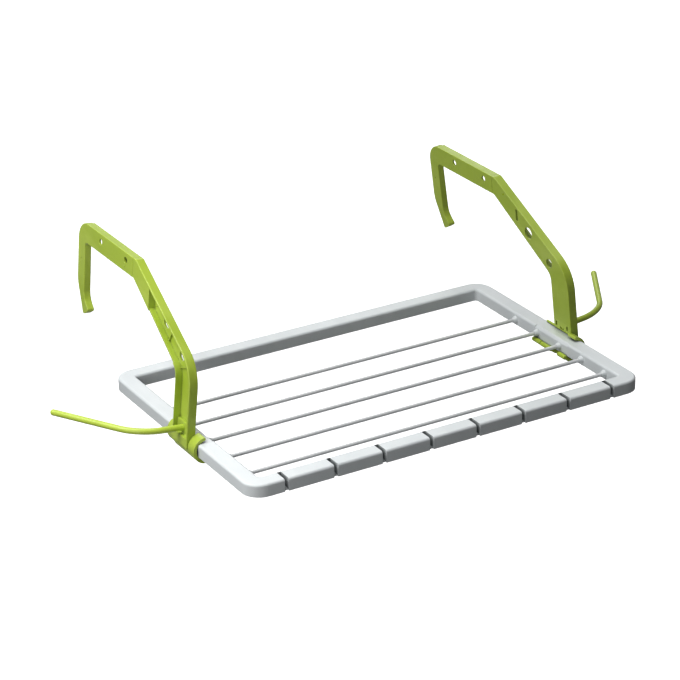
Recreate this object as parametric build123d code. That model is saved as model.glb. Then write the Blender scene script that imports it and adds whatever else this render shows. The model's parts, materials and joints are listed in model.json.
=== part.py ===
from build123d import *
import math
import os

# Hang-over drying rack, in millimetres. +X runs along the rods, +Y towards what the rack hangs on, +Z up.
# Everything is built about the middle of the drying frame's underside, the right side first and the left
# side as its mirror image, and then moved so that the origin is the middle of the hooks' hanging line.
# Only the hooks aren't mirrored: both are the same moulding, with the flat side towards -X.

# ---- drying frame: a hollow rail, open at the bottom ----
FRAME_WIDTH = 560.0
FRAME_DEPTH = 370.0
RAIL_WIDTH = 22.6
RAIL_HEIGHT = 16.5
RAIL_WALL = 2.4
EDGE_ROUND = 3.2
CORNER_OUTER = 24.0
CORNER_INNER = 4.0

# ---- how far cutting tools run past a face, and how deep joined solids reach into each other ----
PAST = 1.0
FAR = 400.0
MELT = 0.5

# ---- notches for clothes hangers in the front rail ----
NOTCH_COUNT = 8
NOTCH_PITCH = 66.4
NOTCH_WIDTH = 5.5
NOTCH_WALL = 2.0
NOTCH_FLOOR = 2.0
NOTCH_LEDGE = 3.0

# ---- drying rods and their sockets ----
ROD_COUNT = 5
ROD_PITCH = 50.0
ROD_LAST_Y = 67.0
ROD_RADIUS = 2.5
ROD_Z = 7.0
ROD_CLEARANCE = 0.03
SOCKET_DEPTH = 10.0
SOCKET_RADIUS = 4.5
SOCKET_END = 2.0
ROD_END_GAP = 0.5
BOSS_LENGTH = 5.0
BOSS_BASE_RADIUS = 5.4
BOSS_TIP_RADIUS = 3.4

# ---- fold hinge: round jaws that turn on the side rail ----
PIVOT_X = FRAME_WIDTH / 2 - RAIL_WIDTH / 2
PIVOT_Z = 6.2
JAW_INNER = 13.2
JAW_OUTER = 17.2
JAW_TOP = 40.0
JAW_LOW = -100.0
FINGER_END = -154.0
FINGER_FRONT_Y = -20.0
JAW_BACK_Y = 3.0
JAW_TIP_ROUND = 1.2
JAW_OVERLAP = 10.0
BEAD_RADIUS = 3.2
BEAD_REACH = 16.0
NECK_ROUND = 13.0
NECK_FRONT_Y = -52.5
NECK_BACK_Y = 22.0
COLLAR_GAP = 0.4
COLLAR_END = -150.0
FRONT_COLLAR = (16.0, JAW_OUTER, 88.0)
REAR_COLLAR = (18.0, 16.0, 62.0)
LEAN = 6.0

# ---- arm, drawn upright: a channel open outwards, made of a post, a slope and a tongue for the hook ----
ARM_THICK = 11.6
ARM_X = PIVOT_X + 13.1
ARM_INNER_X = ARM_X - ARM_THICK / 2
ARM_OUTER_X = ARM_X + ARM_THICK / 2
WEB = 2.6
FLANGE = 2.4
INNER_ROUND = 0.7
OUTER_ROUND = 0.9
POST_FRONT_Y = -35.5
POST_BACK_Y = 2.7
POST_FOOT_Z = PIVOT_Z - 3.0
BAR_TOP_Z = 191.8
BAR_BOTTOM_Z = 166.2
BAR_MIDDLE_Z = (BAR_TOP_Z + BAR_BOTTOM_Z) / 2
BEND_LOW = (POST_BACK_Y, 92.0)
BEND_HIGH = (POST_FRONT_Y, 107.5)
SHOULDER_LOW = (125.0, BAR_BOTTOM_Z)
SHOULDER_HIGH = (121.0, BAR_TOP_Z)
BEND_HIGH_ROUND = 48.0
BEND_LOW_ROUND = 16.0
SHOULDER_HIGH_ROUND = 9.0
SHOULDER_LOW_ROUND = 3.0
SEAM_Y = 128.0
SOCKET_TOP_Z = 31.0
SOCKET_LOW_Z = 15.5
SOCKET_FLOOR = 6.4
REAR_DROP = 1.5
REAR_DROP_START_Y = 10.0
REAR_DROP_WIDTH = 4.0
RIBS = [((38.0, 114.0), (24.5, 140.0)), ((3.0, 94.0), (-34.0, 107.0))]
RIB_THICK = 1.4
RIB_HEIGHT = 2.6
BIG_HOLE = (48.0, 136.0, 8.2)
SMALL_HOLE = (4.0, 108.0, 6.3)
RECESS_END_Y = 81.0
SLIT = (73.0, 153.5)
SLIT_SIZE = (4.4, 16.5)

# ---- tongue: a narrower channel that the hook slides on ----
SLIDE_GAP = 0.35
TONGUE_INNER_X = ARM_INNER_X + FLANGE + SLIDE_GAP
TONGUE_OUTER_X = ARM_INNER_X + 8.0
TONGUE_LOW_Z = BAR_BOTTOM_Z + FLANGE + SLIDE_GAP
TONGUE_HIGH_Z = BAR_TOP_Z - FLANGE - SLIDE_GAP
TONGUE_ROOT = 6.0
TONGUE_END_Y = 210.0
TONGUE_NOSE = 12.0
TONGUE_SLOT = (14.0, 12.5)
TONGUE_SLOT_ROUND = 6.0
TONGUE_SLOT_Y = 152.0
TONGUE_SLOT_Z = 179.2

# ---- hook: a channel over the tongue, with a drop leg ----
LEG_THICK = 9.6
LEG_START_Y = 218.0
BAR_END_Y = 261.0
CORNER_Y = 284.0
LEG_FRONT_TOP = (264.5, BAR_BOTTOM_Z)
LEG_FRONT_LOW = (261.5, 92.0)
TIP_FRONT = (247.0, 78.0)
TIP_BACK = (261.5, 69.0)
LEG_BACK_LOW = (281.5, 110.0)
CORNER_ROUND = 24.0
LEG_BACK_ROUND = 34.0
LEG_FRONT_ROUND = 22.0
TIP_ROUND = 3.0
THROAT_ROUND = 6.0
REACH_HOLES_Y = (148.0, 219.0)
REACH_HOLE_Z = 181.5
REACH_HOLE_RADIUS = 4.1
DIMPLES = [(273.5, 141.5), (268.0, 88.0)]
DIMPLE_RADIUS = 1.3
DIMPLE_DEPTH = 0.8
HANG_Y = 224.0

# ---- reach latch: a leaf in the tongue's nose that clicks against the hook ----
LATCH_Y = 204.0
LATCH_WIDTH = 6.0
LATCH_HEIGHT = 13.0
LATCH_LEAF = 1.4
LATCH_FOOT = 1.8
LATCH_NUB_RADIUS = 1.8
LATCH_DEPTH = 3.4
LATCH_PLAY = 0.2

# ---- side rod and its socket in the arm's foot ----
SIDE_ROD_RADIUS = 4.0
SIDE_ROD_Y = -15.0
SIDE_ROD_Z = 23.5
SIDE_ROD_KNEE = 58.0
SIDE_ROD_REACH = (122.0, 107.6)
SIDE_ROD_BEND = 55.0
SIDE_ROD_DROOP = 3.1
SHAFT_FIT = 0.06
NECK_RADIUS = 2.8
NECK_LENGTH = 1.4
HEAD_RADIUS = 3.7
HEAD_LENGTH = 1.0

# ---- retainer plug that holds the side rod's neck ----
PLUG_WIDTH = 30.0
PLUG_LOW_Z = 18.9
PLUG_HIGH_Z = 29.4
PLUG_DEPTH = 3.0
PLUG_SKIN = 0.8
PLUG_GAP = 0.05
PLUG_SLOT_SIZE = (3.4, 6.5)
PLUG_SLOT_Y = 12.0
PLUG_NOTCH_SIZE = (8.0, 3.4)
NECK_PLAY = 0.2


def block(low, high):
    """A box between two opposite corners."""
    size = [b - a for a, b in zip(low, high)]
    return Pos(*low) * Box(*size, align=(Align.MIN, Align.MIN, Align.MIN))


def bar_along_x(x0, x1, y, z, radius):
    """A round bar from x0 to x1."""
    bar = Cylinder(radius, x1 - x0, align=(Align.CENTER, Align.CENTER, Align.MIN))
    return Pos(x0, y, z) * Rot(0, 90, 0) * bar


def rounded_outline(points, rounds):
    """A flat face from corner points, with each corner rounded by its own radius."""
    face = make_face(Polyline(*points, close=True))
    for (u, v), radius in zip(points, rounds):
        if radius > 0:
            corner = face.vertices().sort_by_distance(Vector(u, v, 0))[0]
            face = fillet(corner, radius)
    return face


def side_plate(points, rounds, x0, x1):
    """A plate with its outline drawn in the YZ plane, from x0 to x1."""
    plane = Plane(origin=(x0, 0, 0), x_dir=(0, 1, 0), z_dir=(1, 0, 0))
    return extrude(plane * rounded_outline(points, rounds), x1 - x0)


def channel(points, rounds, x0, x1):
    """What is cut from a side plate to leave a flange all along its outline."""
    plane = Plane(origin=(x0, 0, 0), x_dir=(0, 1, 0), z_dir=(1, 0, 0))
    return extrude(plane * offset(rounded_outline(points, rounds), -FLANGE), x1 - x0)


def softened(plate):
    """A side plate with the edges of its two faces rounded."""
    plate = fillet(plate.faces().sort_by(Axis.X)[0].edges(), INNER_ROUND)
    return fillet(plate.faces().sort_by(Axis.X)[-1].edges(), OUTER_ROUND)


# ---------------------------------------------------------------- drying frame
def rail_ring(inset):
    """The rail's outer form, or its hollow when inset by the wall."""
    width = FRAME_WIDTH - 2 * inset
    depth = FRAME_DEPTH - 2 * inset
    slab = extrude(RectangleRounded(width, depth, CORNER_OUTER - inset), RAIL_HEIGHT - inset)
    slab = fillet(slab.faces().sort_by(Axis.Z)[-1].edges(), EDGE_ROUND - inset)
    reach = 2 * (RAIL_WIDTH - inset)
    opening = RectangleRounded(FRAME_WIDTH - reach, FRAME_DEPTH - reach, CORNER_INNER + inset)
    window = extrude(opening, RAIL_HEIGHT)
    ring = slab - window
    rim = ring.faces().sort_by(Axis.Z)[-1].inner_wires()[0].edges()
    return fillet(rim, EDGE_ROUND - inset)


def rod_places():
    return [ROD_LAST_Y - i * ROD_PITCH for i in range(ROD_COUNT)]


def neck_trim():
    """What is taken off the right rail's edges so that the jaws and collars can turn round it."""
    low = (PIVOT_X - RAIL_WIDTH, NECK_FRONT_Y, -PAST)
    high = (PIVOT_X + RAIL_WIDTH, NECK_BACK_Y, RAIL_HEIGHT + PAST)
    return block(low, high) - Pos(PIVOT_X, 0, PIVOT_Z) * Rot(90, 0, 0) * Cylinder(NECK_ROUND, FAR)


def make_frame():
    trim = neck_trim()
    body = rail_ring(0) - rail_ring(RAIL_WALL) - trim - mirror(trim, Plane.YZ)
    wall_x = FRAME_WIDTH / 2 - RAIL_WIDTH
    for y in rod_places():
        on_base = (Align.CENTER, Align.CENTER, Align.MIN)
        cone = Cone(BOSS_BASE_RADIUS, BOSS_TIP_RADIUS, BOSS_LENGTH, align=on_base)
        for side in (-1, 1):
            body += Pos(side * wall_x, y, ROD_Z) * Rot(0, -90 * side, 0) * cone
            ends = sorted((side * (wall_x + MELT), side * (wall_x + SOCKET_DEPTH + SOCKET_END)))
            body += bar_along_x(*ends, y, ROD_Z, SOCKET_RADIUS)
        half = wall_x + SOCKET_DEPTH
        body -= bar_along_x(-half, half, y, ROD_Z, ROD_RADIUS + ROD_CLEARANCE)
    front = -FRAME_DEPTH / 2
    first = -NOTCH_PITCH * (NOTCH_COUNT - 1) / 2
    solid_rail = rail_ring(0)
    for i in range(NOTCH_COUNT):
        x = first + i * NOTCH_PITCH
        half = NOTCH_WIDTH / 2
        outer = half + NOTCH_WALL
        body += solid_rail & block((x - outer, front, 0), (x + outer, front + RAIL_WIDTH, RAIL_HEIGHT))
        back = front + RAIL_WIDTH - RAIL_WALL
        body -= block((x - half, front - PAST, NOTCH_FLOOR), (x + half, back, RAIL_HEIGHT + PAST))
        body -= block((x - half, front - PAST, -PAST), (x + half, front + NOTCH_LEDGE, NOTCH_FLOOR + PAST))
    return body


def make_drying_rod(y):
    half = FRAME_WIDTH / 2 - RAIL_WIDTH + SOCKET_DEPTH - ROD_END_GAP
    return bar_along_x(-half, half, y, ROD_Z, ROD_RADIUS)


# ---------------------------------------------------------------- jaws and collars
def c_ring(y_front, y_back, outer_radius, low_angle, top_angle):
    """A C-shaped ring round the side rail, from low_angle to top_angle, counted from straight outwards."""
    plane = Plane(origin=(PIVOT_X, y_back, PIVOT_Z), x_dir=(1, 0, 0), z_dir=(0, -1, 0))
    sweep_angle = top_angle - low_angle
    outer = CenterArc((0, 0), outer_radius, low_angle, sweep_angle)
    inner = CenterArc((0, 0), JAW_INNER, low_angle, sweep_angle)
    face = make_face([outer, inner, Line(outer @ 0, inner @ 0), Line(outer @ 1, inner @ 1)])
    face = fillet(face.vertices(), JAW_TIP_ROUND)
    return extrude(plane * face, y_back - y_front)


def snap_bead(y_front, y_back, angle):
    """The thick lip that snaps under the rail's inner edge."""
    turn = math.radians(angle)
    x = PIVOT_X + BEAD_REACH * math.cos(turn)
    z = PIVOT_Z + BEAD_REACH * math.sin(turn)
    bead = Cylinder(BEAD_RADIUS, y_back - y_front, align=(Align.CENTER, Align.CENTER, Align.MIN))
    bead = fillet(bead.edges().filter_by(GeomType.CIRCLE), JAW_TIP_ROUND)
    return Pos(x, y_back, z) * Rot(90, 0, 0) * bead - rail_bore()


def rail_bore():
    return Pos(PIVOT_X, 0, PIVOT_Z) * Rot(90, 0, 0) * Cylinder(JAW_INNER, FAR)


def make_front_collar():
    length, radius, top = FRONT_COLLAR
    back = POST_FRONT_Y - COLLAR_GAP
    front = back - length
    return c_ring(front, back, radius, COLLAR_END, top) + snap_bead(front, back, COLLAR_END)


def make_rear_collar():
    length, radius, top = REAR_COLLAR
    front = JAW_BACK_Y + COLLAR_GAP
    back = front + length
    return c_ring(front, back, radius, COLLAR_END, top) + snap_bead(front, back, COLLAR_END)


# ---------------------------------------------------------------- arm
def arm_plate():
    """The post and slope as a solid plate, and the channel that is cut into its outer face."""
    outline = [(POST_FRONT_Y, POST_FOOT_Z), BEND_HIGH, SHOULDER_HIGH, (SEAM_Y, BAR_TOP_Z),
               (SEAM_Y, BAR_BOTTOM_Z), SHOULDER_LOW, BEND_LOW, (POST_BACK_Y, POST_FOOT_Z)]
    rounds = [0, BEND_HIGH_ROUND, SHOULDER_HIGH_ROUND, 0, 0, SHOULDER_LOW_ROUND, BEND_LOW_ROUND, 0]
    plate = softened(side_plate(outline, rounds, ARM_INNER_X, ARM_OUTER_X))
    hollow = channel(outline, rounds, ARM_INNER_X + WEB, ARM_OUTER_X + PAST)
    hollow &= block((ARM_INNER_X, -FAR, SOCKET_LOW_Z), (ARM_OUTER_X + PAST, RECESS_END_Y, FAR))
    socket_floor = block((ARM_INNER_X, -FAR, 0), (ARM_INNER_X + SOCKET_FLOOR, FAR, SOCKET_TOP_Z))
    return plate, hollow - socket_floor


def rear_drop():
    """What is taken off the slope's rear flange, which stands lower than the front one."""
    rise = (SHOULDER_LOW[1] - BEND_LOW[1]) / (SHOULDER_LOW[0] - BEND_LOW[0])
    y0, y1 = REAR_DROP_START_Y, RECESS_END_Y
    z0, z1 = (BEND_LOW[1] + rise * (y - BEND_LOW[0]) for y in (y0, y1))
    top = REAR_DROP_WIDTH
    outline = [(y0, z0 - ARM_THICK), (y1, z1 - ARM_THICK), (y1, z1 + top), (y0, z0 + top)]
    return side_plate(outline, [0, 0, 0, 0], ARM_OUTER_X - REAR_DROP, ARM_OUTER_X + PAST)


def make_ribs():
    """Thin ribs across the channel, each from one point on its rear flange to one on its front flange."""
    ribs = []
    for (y0, z0), (y1, z1) in RIBS:
        length = math.hypot(y1 - y0, z1 - z0)
        turn = math.degrees(math.atan2(z1 - z0, y1 - y0))
        low_x = ARM_INNER_X + WEB - MELT
        strip = Box(RIB_HEIGHT, length, RIB_THICK)
        ribs.append(Pos(low_x + RIB_HEIGHT / 2, (y0 + y1) / 2, (z0 + z1) / 2) * Rot(turn, 0, 0) * strip)
    return ribs


def make_tongue():
    low = (TONGUE_INNER_X, SEAM_Y - TONGUE_ROOT, TONGUE_LOW_Z)
    tongue = block(low, (TONGUE_OUTER_X, TONGUE_END_Y, TONGUE_HIGH_Z))
    nose_y = TONGUE_END_Y - TONGUE_NOSE
    low = (TONGUE_INNER_X + WEB, SEAM_Y - TONGUE_ROOT - PAST, TONGUE_LOW_Z + FLANGE)
    tongue -= block(low, (ARM_OUTER_X + PAST, nose_y, TONGUE_HIGH_Z - FLANGE))
    slot = RectangleRounded(*TONGUE_SLOT, TONGUE_SLOT_ROUND)
    plane = Plane(origin=(ARM_INNER_X, TONGUE_SLOT_Y, TONGUE_SLOT_Z), x_dir=(0, 1, 0), z_dir=(1, 0, 0))
    return tongue - extrude(plane * slot, ARM_THICK)


def arm_holes():
    """The two round lightening holes and the slit."""
    cuts = []
    for y, z, radius in (BIG_HOLE, SMALL_HOLE):
        cuts.append(bar_along_x(ARM_INNER_X - PAST, ARM_OUTER_X + PAST, y, z, radius))
    half_width, half_length = SLIT_SIZE[0] / 2, SLIT_SIZE[1] / 2
    cuts.append(block((ARM_INNER_X - PAST, SLIT[0] - half_width, SLIT[1] - half_length),
                      (ARM_INNER_X + WEB + PAST, SLIT[0] + half_width, SLIT[1] + half_length)))
    return cuts


def plug_box(gap, depth):
    """The retainer plug's box, or its pocket when grown by the gap."""
    half = PLUG_WIDTH / 2 + gap
    low_x = ARM_INNER_X - PAST if gap else ARM_INNER_X
    low = (low_x, SIDE_ROD_Y - half, PLUG_LOW_Z - gap)
    return block(low, (ARM_INNER_X + depth, SIDE_ROD_Y + half, PLUG_HIGH_Z + gap))


def make_arm():
    plate, hollow = arm_plate()
    arm = plate - hollow - rear_drop()
    for rib in make_ribs():
        arm += rib & plate
    arm += c_ring(POST_FRONT_Y, JAW_BACK_Y, JAW_OUTER, JAW_LOW, JAW_TOP)
    arm += c_ring(FINGER_FRONT_Y, JAW_BACK_Y, JAW_OUTER, FINGER_END, JAW_LOW + JAW_OVERLAP)
    arm += snap_bead(FINGER_FRONT_Y, JAW_BACK_Y, FINGER_END)
    arm += make_tongue()
    for cut in arm_holes():
        arm -= cut
    arm -= rail_bore()
    arm -= plug_box(PLUG_GAP, PLUG_DEPTH + PLUG_GAP)
    arm -= bar_along_x(ARM_INNER_X, ARM_OUTER_X, SIDE_ROD_Y, SIDE_ROD_Z, SIDE_ROD_RADIUS + SHAFT_FIT)
    return arm - latch_recess()


# ---------------------------------------------------------------- reach latch
def latch_recess():
    half_width, half_height = LATCH_WIDTH / 2 + LATCH_PLAY, LATCH_HEIGHT / 2 + LATCH_PLAY
    return block((TONGUE_INNER_X - PAST, LATCH_Y - half_width, BAR_MIDDLE_Z - half_height),
                 (TONGUE_INNER_X + LATCH_DEPTH + PLUG_GAP, LATCH_Y + half_width, BAR_MIDDLE_Z + half_height))


def make_reach_latch():
    """A leaf with a nub, held off the recess's floor by a foot at each end."""
    x0 = TONGUE_INNER_X + LATCH_PLAY
    x1 = TONGUE_INNER_X + LATCH_DEPTH
    half_width, half_height = LATCH_WIDTH / 2, LATCH_HEIGHT / 2
    leaf = block((x0, LATCH_Y - half_width, BAR_MIDDLE_Z - half_height),
                 (x0 + LATCH_LEAF, LATCH_Y + half_width, BAR_MIDDLE_Z + half_height))
    for z in (BAR_MIDDLE_Z - half_height, BAR_MIDDLE_Z + half_height - LATCH_FOOT):
        leaf += block((x0, LATCH_Y - half_width, z), (x1, LATCH_Y + half_width, z + LATCH_FOOT))
    return leaf + bar_along_x(TONGUE_INNER_X, x0 + LATCH_LEAF, LATCH_Y, BAR_MIDDLE_Z, LATCH_NUB_RADIUS)


# ---------------------------------------------------------------- hook
def make_hook():
    start = SEAM_Y + COLLAR_GAP
    bar = [(start, BAR_BOTTOM_Z), (start, BAR_TOP_Z), (BAR_END_Y, BAR_TOP_Z), (BAR_END_Y, BAR_BOTTOM_Z)]
    bend = [(CORNER_Y, BAR_TOP_Z), LEG_BACK_LOW, TIP_BACK, TIP_FRONT, LEG_FRONT_LOW, LEG_FRONT_TOP]
    bend_rounds = [CORNER_ROUND, LEG_BACK_ROUND, TIP_ROUND, TIP_ROUND, LEG_FRONT_ROUND, THROAT_ROUND]
    leg = [(LEG_START_Y, BAR_BOTTOM_Z), (LEG_START_Y, BAR_TOP_Z)] + bend
    whole = bar[:2] + bend
    hook = softened(side_plate(bar, [0, 0, 0, 0], ARM_INNER_X, ARM_OUTER_X))
    hook += softened(side_plate(leg, [0, 0] + bend_rounds, ARM_INNER_X, ARM_INNER_X + LEG_THICK))
    hook -= channel(whole, [0, 0] + bend_rounds, ARM_INNER_X + FLANGE, ARM_OUTER_X + PAST)
    mouth_low = (ARM_INNER_X + FLANGE, SEAM_Y, BAR_BOTTOM_Z + FLANGE)
    hook -= block(mouth_low, (ARM_OUTER_X + PAST, LEG_START_Y, BAR_TOP_Z - FLANGE))
    for y in REACH_HOLES_Y:
        hook -= bar_along_x(ARM_INNER_X - PAST, ARM_OUTER_X, y, REACH_HOLE_Z, REACH_HOLE_RADIUS)
    for y, z in DIMPLES:
        hook -= bar_along_x(ARM_INNER_X - PAST, ARM_INNER_X + DIMPLE_DEPTH, y, z, DIMPLE_RADIUS)
    return hook


# ---------------------------------------------------------------- side rod and retainer
def make_side_rod():
    shaft_x = ARM_INNER_X + PLUG_DEPTH + NECK_PLAY
    plane = Plane(origin=(ARM_X, SIDE_ROD_Y, SIDE_ROD_Z), x_dir=(1, 0, 0), z_dir=(0, 0, 1))
    run = [(shaft_x - ARM_X, 0), (SIDE_ROD_KNEE, 0), SIDE_ROD_REACH]
    path = plane * FilletPolyline(*run, radius=SIDE_ROD_BEND)
    end = plane.from_local_coords(Vector(*SIDE_ROD_REACH, 0))
    start = Plane(origin=path @ 0, z_dir=path % 0)
    rod = sweep(start * Circle(SIDE_ROD_RADIUS), path=path)
    rod += Pos(*end) * Sphere(SIDE_ROD_RADIUS)
    rod += bar_along_x(shaft_x - NECK_LENGTH, shaft_x + MELT, SIDE_ROD_Y, SIDE_ROD_Z, NECK_RADIUS)
    head_x = shaft_x - NECK_LENGTH - HEAD_LENGTH
    rod += bar_along_x(head_x, head_x + HEAD_LENGTH, SIDE_ROD_Y, SIDE_ROD_Z, HEAD_RADIUS)
    axis = Axis((0, SIDE_ROD_Y, SIDE_ROD_Z), (1, 0, 0))
    return rod.rotate(axis, -SIDE_ROD_DROOP)


def make_rod_retainer():
    """A plug with a slot round the neck, room for the head behind it, and openings in its skin."""
    plug = plug_box(0, PLUG_DEPTH)
    slot = NECK_RADIUS + NECK_PLAY
    x0 = ARM_INNER_X + PLUG_SKIN
    x1 = ARM_INNER_X + PLUG_DEPTH
    plug -= block((x0, SIDE_ROD_Y - slot, PLUG_LOW_Z - PAST), (x1 + PAST, SIDE_ROD_Y + slot, SIDE_ROD_Z))
    plug -= bar_along_x(x0, x1 + PAST, SIDE_ROD_Y, SIDE_ROD_Z, slot)
    head_end = x1 + NECK_PLAY - NECK_LENGTH + NECK_PLAY
    plug -= bar_along_x(x0, head_end, SIDE_ROD_Y, SIDE_ROD_Z, HEAD_RADIUS + NECK_PLAY)
    middle_z = (PLUG_LOW_Z + PLUG_HIGH_Z) / 2
    for side in (-1, 1):
        y = SIDE_ROD_Y + side * PLUG_SLOT_Y
        half_width, half_height = PLUG_SLOT_SIZE[0] / 2, PLUG_SLOT_SIZE[1] / 2
        plug -= block((ARM_INNER_X - PAST, y - half_width, middle_z - half_height),
                      (x1 + PAST, y + half_width, middle_z + half_height))
    half_notch = PLUG_NOTCH_SIZE[0] / 2
    plug -= block((ARM_INNER_X - PAST, SIDE_ROD_Y - half_notch, PLUG_LOW_Z - PAST),
                  (x0 + PAST, SIDE_ROD_Y + half_notch, PLUG_LOW_Z + PLUG_NOTCH_SIZE[1]))
    return plug


# ---------------------------------------------------------------- assembly
def leaned(part):
    """An upright right-hand piece, leaned in about the side rail's pivot line."""
    return part.rotate(Axis((PIVOT_X, 0, PIVOT_Z), (0, 1, 0)), -LEAN)


def hang_point():
    """The middle of the hanging line, where the hooks' undersides rest."""
    lean = math.radians(LEAN)
    z = PIVOT_Z + (ARM_X - PIVOT_X) * math.sin(lean) + (BAR_BOTTOM_Z - PIVOT_Z) * math.cos(lean)
    return Pos(0, -HANG_Y, -z)


def main():
    hook = make_hook()
    turned_hook = mirror(hook, Plane(origin=(ARM_X, 0, 0), z_dir=(1, 0, 0)))
    pieces = {"frame": make_frame()}
    for i, y in enumerate(rod_places()):
        pieces[f"drying_rod_{i + 1}"] = make_drying_rod(y)
    right = {
        "front_collar": make_front_collar(),
        "rear_collar": make_rear_collar(),
        "arm": leaned(make_arm()),
        "reach_latch": leaned(make_reach_latch()),
        "hook": leaned(hook),
        "side_rod": leaned(make_side_rod()),
        "rod_retainer": leaned(make_rod_retainer()),
    }
    for name, piece in right.items():
        pieces["right_" + name] = piece
        pieces["left_" + name] = mirror(piece, Plane.YZ)
    pieces["left_hook"] = mirror(leaned(turned_hook), Plane.YZ)
    os.makedirs("parts", exist_ok=True)
    place = hang_point()
    for name, piece in pieces.items():
        export_step(place * piece, f"parts/{name}.step")


main()
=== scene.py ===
import json
import math
import bpy
from mathutils import Matrix, Vector


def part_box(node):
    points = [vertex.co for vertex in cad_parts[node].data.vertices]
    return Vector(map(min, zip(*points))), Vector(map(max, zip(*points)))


# A hang-over drying rack. +X runs along the rods, +Y towards what the rack hangs on, +Z up, in metres.
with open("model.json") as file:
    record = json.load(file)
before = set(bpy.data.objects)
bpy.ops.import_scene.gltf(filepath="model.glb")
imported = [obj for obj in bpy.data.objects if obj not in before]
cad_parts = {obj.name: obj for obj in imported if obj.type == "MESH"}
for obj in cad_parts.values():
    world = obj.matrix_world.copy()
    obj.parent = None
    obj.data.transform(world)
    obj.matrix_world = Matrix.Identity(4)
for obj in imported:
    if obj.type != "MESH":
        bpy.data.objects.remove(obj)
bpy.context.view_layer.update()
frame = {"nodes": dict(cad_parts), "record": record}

MM = 0.001

# ---------------------------------------------------------------- camera
# The camera turns about the middle of the drying frame's underside.
CAMERA_AZIMUTH = math.radians(-29.92)
CAMERA_ELEVATION = math.radians(24.45)
CAMERA_ROLL = math.radians(-1.05)
CAMERA_DISTANCE = 3.18044
CAMERA_ASIDE = 0.045736
CAMERA_RAISED = 0.059898
LENS = 133.17


def frame_middle():
    low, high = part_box("frame")
    return Vector(((low.x + high.x) / 2, (low.y + high.y) / 2, low.z))


def linked(obj):
    bpy.context.scene.collection.objects.link(obj)
    return obj


def make_camera():
    az, el, roll = CAMERA_AZIMUTH, CAMERA_ELEVATION, CAMERA_ROLL
    back = Vector((math.sin(az) * math.cos(el), -math.cos(az) * math.cos(el), math.sin(el)))
    level = Vector((math.cos(az), math.sin(az), 0))
    right = level * math.cos(roll) + back.cross(level) * math.sin(roll)
    up = back.cross(right)
    place = frame_middle() + back * CAMERA_DISTANCE - right * CAMERA_ASIDE + up * CAMERA_RAISED
    data = bpy.data.cameras.new("camera")
    data.lens = LENS
    data.clip_end = 60
    obj = linked(bpy.data.objects.new("camera", data))
    obj.matrix_world = Matrix.Translation(place) @ Matrix((right, up, back)).transposed().to_4x4()
    bpy.context.scene.camera = obj


# ---------------------------------------------------------------- light and floor
# The studio is white to the camera. It lights surfaces by AMBIENT, and shows in reflections by SHEEN more.
AMBIENT = 0.02
SHEEN = 0.28
# Each sun: where it shines from, its strength and its softness.
SUNS = {
    "overhead": (Vector((0, 0, 1)), 1.28, math.radians(30)),
    "back_top": (Vector((0.3, 0.8, 0.6)), 0.48, math.radians(30)),
    "key": (Vector((-0.42, 0.36, 0.83)), 0.35, math.radians(24)),
    "left": (Vector((-1, 0, 0.3)), 0.15, math.radians(30)),
    "bounce": (Vector((0, -0.12, -1)), 0.55, math.radians(40)),
}
# Soft boxes stand at a place counted from the frame's middle, and both point at the left arm's foot.
LEFT_ARM = Vector((-0.25, 0, 0.05))
SOFT_BOXES = {
    "left_fill": (Vector((-1.15, -0.75, 0.30)), (0.7, 0.9), 4.5),
    "top_left": (Vector((-0.75, 0.05, 0.75)), (0.5, 0.5), 5.2),
}
FLOOR_DROP = 0.75
FLOOR_SIZE = 60.0
FLOOR_GLOW = 0.8


def sun(name, origin, strength, softness):
    data = bpy.data.lights.new(name, "SUN")
    data.energy = strength
    data.angle = softness
    obj = linked(bpy.data.objects.new(name, data))
    obj.rotation_euler = origin.to_track_quat("Z", "Y").to_euler()


def soft_box(name, place, target, size, power):
    data = bpy.data.lights.new(name, "AREA")
    data.shape = "RECTANGLE"
    data.size, data.size_y = size
    data.energy = power
    obj = linked(bpy.data.objects.new(name, data))
    obj.location = place
    obj.rotation_euler = (place - target).to_track_quat("Z", "Y").to_euler()


def make_world():
    world = bpy.data.worlds.new("studio")
    world.use_nodes = True
    tree = world.node_tree
    tree.nodes.clear()
    path = tree.nodes.new("ShaderNodeLightPath")
    seen = tree.nodes.new("ShaderNodeBackground")
    lit = tree.nodes.new("ShaderNodeBackground")
    mix = tree.nodes.new("ShaderNodeMixShader")
    out = tree.nodes.new("ShaderNodeOutputWorld")
    seen.inputs["Color"].default_value = (1, 1, 1, 1)
    lit.inputs["Color"].default_value = (0.95, 0.98, 1.0, 1)
    glow = tree.nodes.new("ShaderNodeMath")
    glow.operation = "MULTIPLY_ADD"
    glow.inputs[1].default_value = SHEEN
    glow.inputs[2].default_value = AMBIENT
    tree.links.new(path.outputs["Is Glossy Ray"], glow.inputs[0])
    tree.links.new(glow.outputs[0], lit.inputs["Strength"])
    tree.links.new(path.outputs["Is Camera Ray"], mix.inputs["Fac"])
    tree.links.new(lit.outputs[0], mix.inputs[1])
    tree.links.new(seen.outputs[0], mix.inputs[2])
    tree.links.new(mix.outputs[0], out.inputs["Surface"])
    bpy.context.scene.world = world


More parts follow.
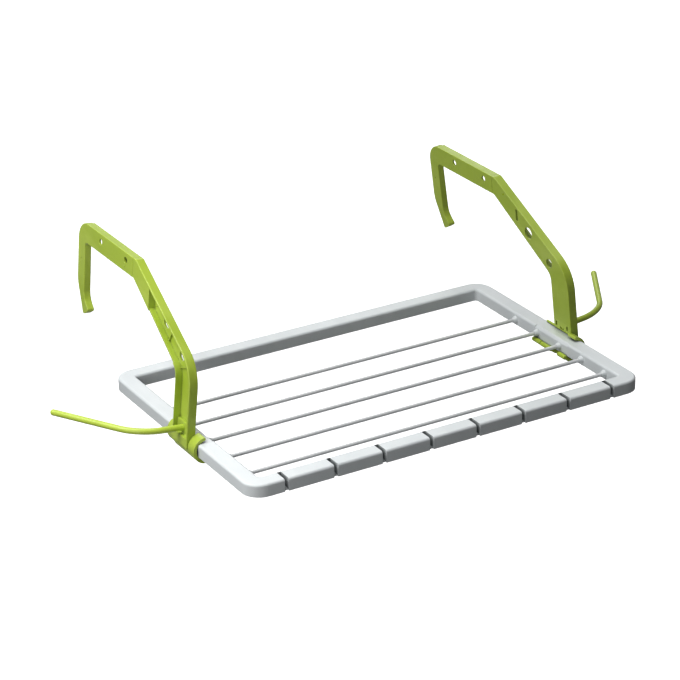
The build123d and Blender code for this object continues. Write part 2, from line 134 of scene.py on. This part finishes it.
def make_floor():
    mesh = bpy.data.meshes.new("floor")
    half = FLOOR_SIZE / 2
    z = frame_middle().z - FLOOR_DROP
    corners = [(-half, -half, z), (half, -half, z), (half, half, z), (-half, half, z)]
    mesh.from_pydata(corners, [], [(0, 1, 2, 3)])
    floor = linked(bpy.data.objects.new("floor", mesh))
    material = bpy.data.materials.new("floor")
    material.use_nodes = True
    shader = material.node_tree.nodes["Principled BSDF"]
    shader.inputs["Base Color"].default_value = (0.92, 0.92, 0.92, 1)
    shader.inputs["Roughness"].default_value = 0.9
    shader.inputs["Specular IOR Level"].default_value = 0.1
    shader.inputs["Emission Color"].default_value = (1, 1, 1, 1)
    shader.inputs["Emission Strength"].default_value = FLOOR_GLOW
    mesh.materials.append(material)
    floor.visible_diffuse = False
    floor.visible_glossy = False
    floor.visible_shadow = False


def make_lights():
    for name, (origin, strength, softness) in SUNS.items():
        sun(name, origin, strength, softness)
    middle = frame_middle()
    for name, (place, size, power) in SOFT_BOXES.items():
        soft_box(name, middle + place, middle + LEFT_ARM, size, power)


def settle_colours():
    bpy.context.scene.view_settings.view_transform = "Standard"


# ---------------------------------------------------------------- materials
# How far shading rounds off sharp edges, in mm.
EDGE_ROUND = 0.5


class Graph:
    """A small helper that adds nodes to one material and links them."""

    def __init__(self, name):
        self.material = bpy.data.materials.new(name)
        self.material.use_nodes = True
        self.tree = self.material.node_tree
        self.shader = self.tree.nodes["Principled BSDF"]
        self.place = self.add("ShaderNodeTexCoord").outputs["Object"]

    def add(self, kind, **values):
        node = self.tree.nodes.new(kind)
        for name, value in values.items():
            setattr(node, name, value)
        return node

    def link(self, output, target):
        self.tree.links.new(output, target)

    def noise(self, scale, detail=2.0, rough=0.5, stretch=None):
        node = self.add("ShaderNodeTexNoise")
        node.inputs["Scale"].default_value = scale
        node.inputs["Detail"].default_value = detail
        node.inputs["Roughness"].default_value = rough
        source = self.place
        if stretch:
            mapping = self.add("ShaderNodeMapping")
            mapping.inputs["Scale"].default_value = stretch
            self.link(self.place, mapping.inputs["Vector"])
            source = mapping.outputs["Vector"]
        self.link(source, node.inputs["Vector"])
        return node.outputs["Fac"]

    def ramp(self, source, low, high, out_low=0.0, out_high=1.0):
        node = self.add("ShaderNodeMapRange")
        node.inputs["From Min"].default_value = low
        node.inputs["From Max"].default_value = high
        node.inputs["To Min"].default_value = out_low
        node.inputs["To Max"].default_value = out_high
        self.link(source, node.inputs["Value"])
        return node.outputs["Result"]

    def mix(self, factor, first, second):
        node = self.add("ShaderNodeMix", data_type="RGBA")
        self.link(factor, node.inputs["Factor"])
        for value, socket in ((first, node.inputs["A"]), (second, node.inputs["B"])):
            if isinstance(value, tuple):
                socket.default_value = (*value, 1)
            else:
                self.link(value, socket)
        return node.outputs["Result"]

    def math(self, operation, first, second):
        node = self.add("ShaderNodeMath", operation=operation)
        for value, socket in ((first, node.inputs[0]), (second, node.inputs[1])):
            if isinstance(value, float):
                socket.default_value = value
            else:
                self.link(value, socket)
        return node.outputs["Value"]

    def bump(self, heights):
        """Stacks (height, distance in mm) pairs into one normal, over softly rounded edges."""
        rounded = self.add("ShaderNodeBevel", samples=6)
        rounded.inputs["Radius"].default_value = EDGE_ROUND * MM
        normal = rounded.outputs["Normal"]
        for height, distance in heights:
            node = self.add("ShaderNodeBump")
            node.inputs["Strength"].default_value = 1.0
            node.inputs["Distance"].default_value = distance * MM
            self.link(height, node.inputs["Height"])
            self.link(normal, node.inputs["Normal"])
            normal = node.outputs["Normal"]
        self.link(normal, self.shader.inputs["Normal"])

    def edges(self, reach):
        """1 along convex edges, 0 on flats: how far a rounded normal leaves the true one."""
        bevel = self.add("ShaderNodeBevel", samples=4)
        bevel.inputs["Radius"].default_value = reach * MM
        geometry = self.add("ShaderNodeNewGeometry")
        dot = self.add("ShaderNodeVectorMath", operation="DOT_PRODUCT")
        self.link(bevel.outputs["Normal"], dot.inputs[0])
        self.link(geometry.outputs["Normal"], dot.inputs[1])
        return self.ramp(dot.outputs["Value"], 0.995, 0.85)

    def crevices(self, reach):
        """1 deep in corners and slots, 0 in the open."""
        node = self.add("ShaderNodeAmbientOcclusion", samples=4)
        node.inputs["Distance"].default_value = reach * MM
        return self.ramp(node.outputs["AO"], 0.75, 0.15)


def moulded_plastic(name, base, deep, pale_tone_and_edge_highlight, corner_shade_colour, rough, grain, corner_shade_strength=0.5, reach=5):
    """Moulded plastic: a tint that drifts with the flow, a fine grain, a painted highlight along the edges
    and painted shade in the corners.

    The argument after grain sets how dark the painted shade in the corners gets, and reach how far out of
    them it spreads, in mm.
    """
    g = Graph(name)
    drift = g.ramp(g.noise(9, 3, 0.55), 0.35, 0.65)
    body = g.mix(drift, base, deep)
    flow = g.ramp(g.noise(30, 4, 0.6, (1, 0.25, 0.6)), 0.45, 0.75, 0.0, 0.35)
    body = g.mix(flow, body, pale_tone_and_edge_highlight)
    # Painted highlight: a pale band along convex edges, broken up by noise. The same mask also lowers the
    # roughness there.
    edge_highlight_mask = g.math("MULTIPLY", g.edges(0.8), g.ramp(g.noise(160, 3), 0.35, 0.6, 0.25, 0.8))
    body = g.mix(edge_highlight_mask, body, pale_tone_and_edge_highlight)
    # Painted shade: corners and slots darkened towards the corner shade colour.
    body = g.mix(g.math("MULTIPLY", g.crevices(reach), corner_shade_strength), body, corner_shade_colour)
    g.link(body, g.shader.inputs["Base Color"])
    patches = g.ramp(g.noise(45, 5, 0.65), 0.3, 0.7, rough - 0.06, rough + 0.08)
    g.link(g.math("ADD", patches, g.math("MULTIPLY", edge_highlight_mask, -0.06)), g.shader.inputs["Roughness"])
    g.shader.inputs["IOR"].default_value = 1.49
    g.bump([(g.noise(25, 2), 0.25), (g.noise(1400, 2, 0.6), grain)])
    return g.material


# Each plastic gives a base tint, a deeper tint, a pale tone that also paints the edge highlight, the
# painted corner shade, roughness, grain, and sometimes corner-shade strength and reach.
def green_plastic():
    return moulded_plastic("green_plastic", (0.43, 0.565, 0.05), (0.38, 0.51, 0.04), (0.70, 0.83, 0.18),
                           (0.10, 0.14, 0.015), 0.33, 0.03, 0.85)


def green_rod_plastic():
    return moulded_plastic("green_rod", (0.50, 0.64, 0.06), (0.45, 0.59, 0.05), (0.62, 0.74, 0.13),
                           (0.22, 0.28, 0.03), 0.30, 0.018)


def white_plastic():
    return moulded_plastic("white_plastic", (0.75, 0.79, 0.80), (0.71, 0.75, 0.765), (0.87, 0.895, 0.90),
                           (0.06, 0.075, 0.08), 0.38, 0.03, 0.95, 13)


def natural_plastic():
    return moulded_plastic("natural_plastic", (0.82, 0.80, 0.73), (0.77, 0.75, 0.67), (0.88, 0.87, 0.82),
                           (0.40, 0.38, 0.32), 0.42, 0.02)


def coated_rod():
    """Powder-coated wire: an even satin coat whose tint drifts a little along the rod."""
    g = Graph("coated_rod")
    drift = g.ramp(g.noise(14, 3), 0.35, 0.65)
    body = g.mix(drift, (0.82, 0.835, 0.84), (0.76, 0.78, 0.79))
    streak = g.ramp(g.noise(90, 2, 0.5, (0.05, 1, 1)), 0.45, 0.75, 0.0, 0.15)
    body = g.mix(streak, body, (0.72, 0.74, 0.75))
    # Painted shade: the rod darkened to grey in corners and slots.
    body = g.mix(g.math("MULTIPLY", g.crevices(4), 0.5), body, (0.36, 0.38, 0.39))
    g.link(body, g.shader.inputs["Base Color"])
    g.link(g.ramp(g.noise(60, 4), 0.3, 0.7, 0.34, 0.42), g.shader.inputs["Roughness"])
    g.shader.inputs["Metallic"].default_value = 0.2
    g.bump([(g.noise(400, 1), 0.004)])
    return g.material


def finishes():
    return {
        "white_plastic": white_plastic(),
        "coated_rod": coated_rod(),
        "green_plastic": green_plastic(),
        "green_rod": green_rod_plastic(),
        "natural_plastic": natural_plastic(),
    }


def paint_cad_nodes(materials):
    for part in frame["record"]["subparts"]:
        mesh = frame["nodes"][part["node"]].data
        mesh.materials.clear()
        mesh.materials.append(materials[part["material_slot"]])


# ---------------------------------------------------------------- scene
make_camera()
make_world()
make_lights()
make_floor()
settle_colours()
materials = finishes()
paint_cad_nodes(materials)
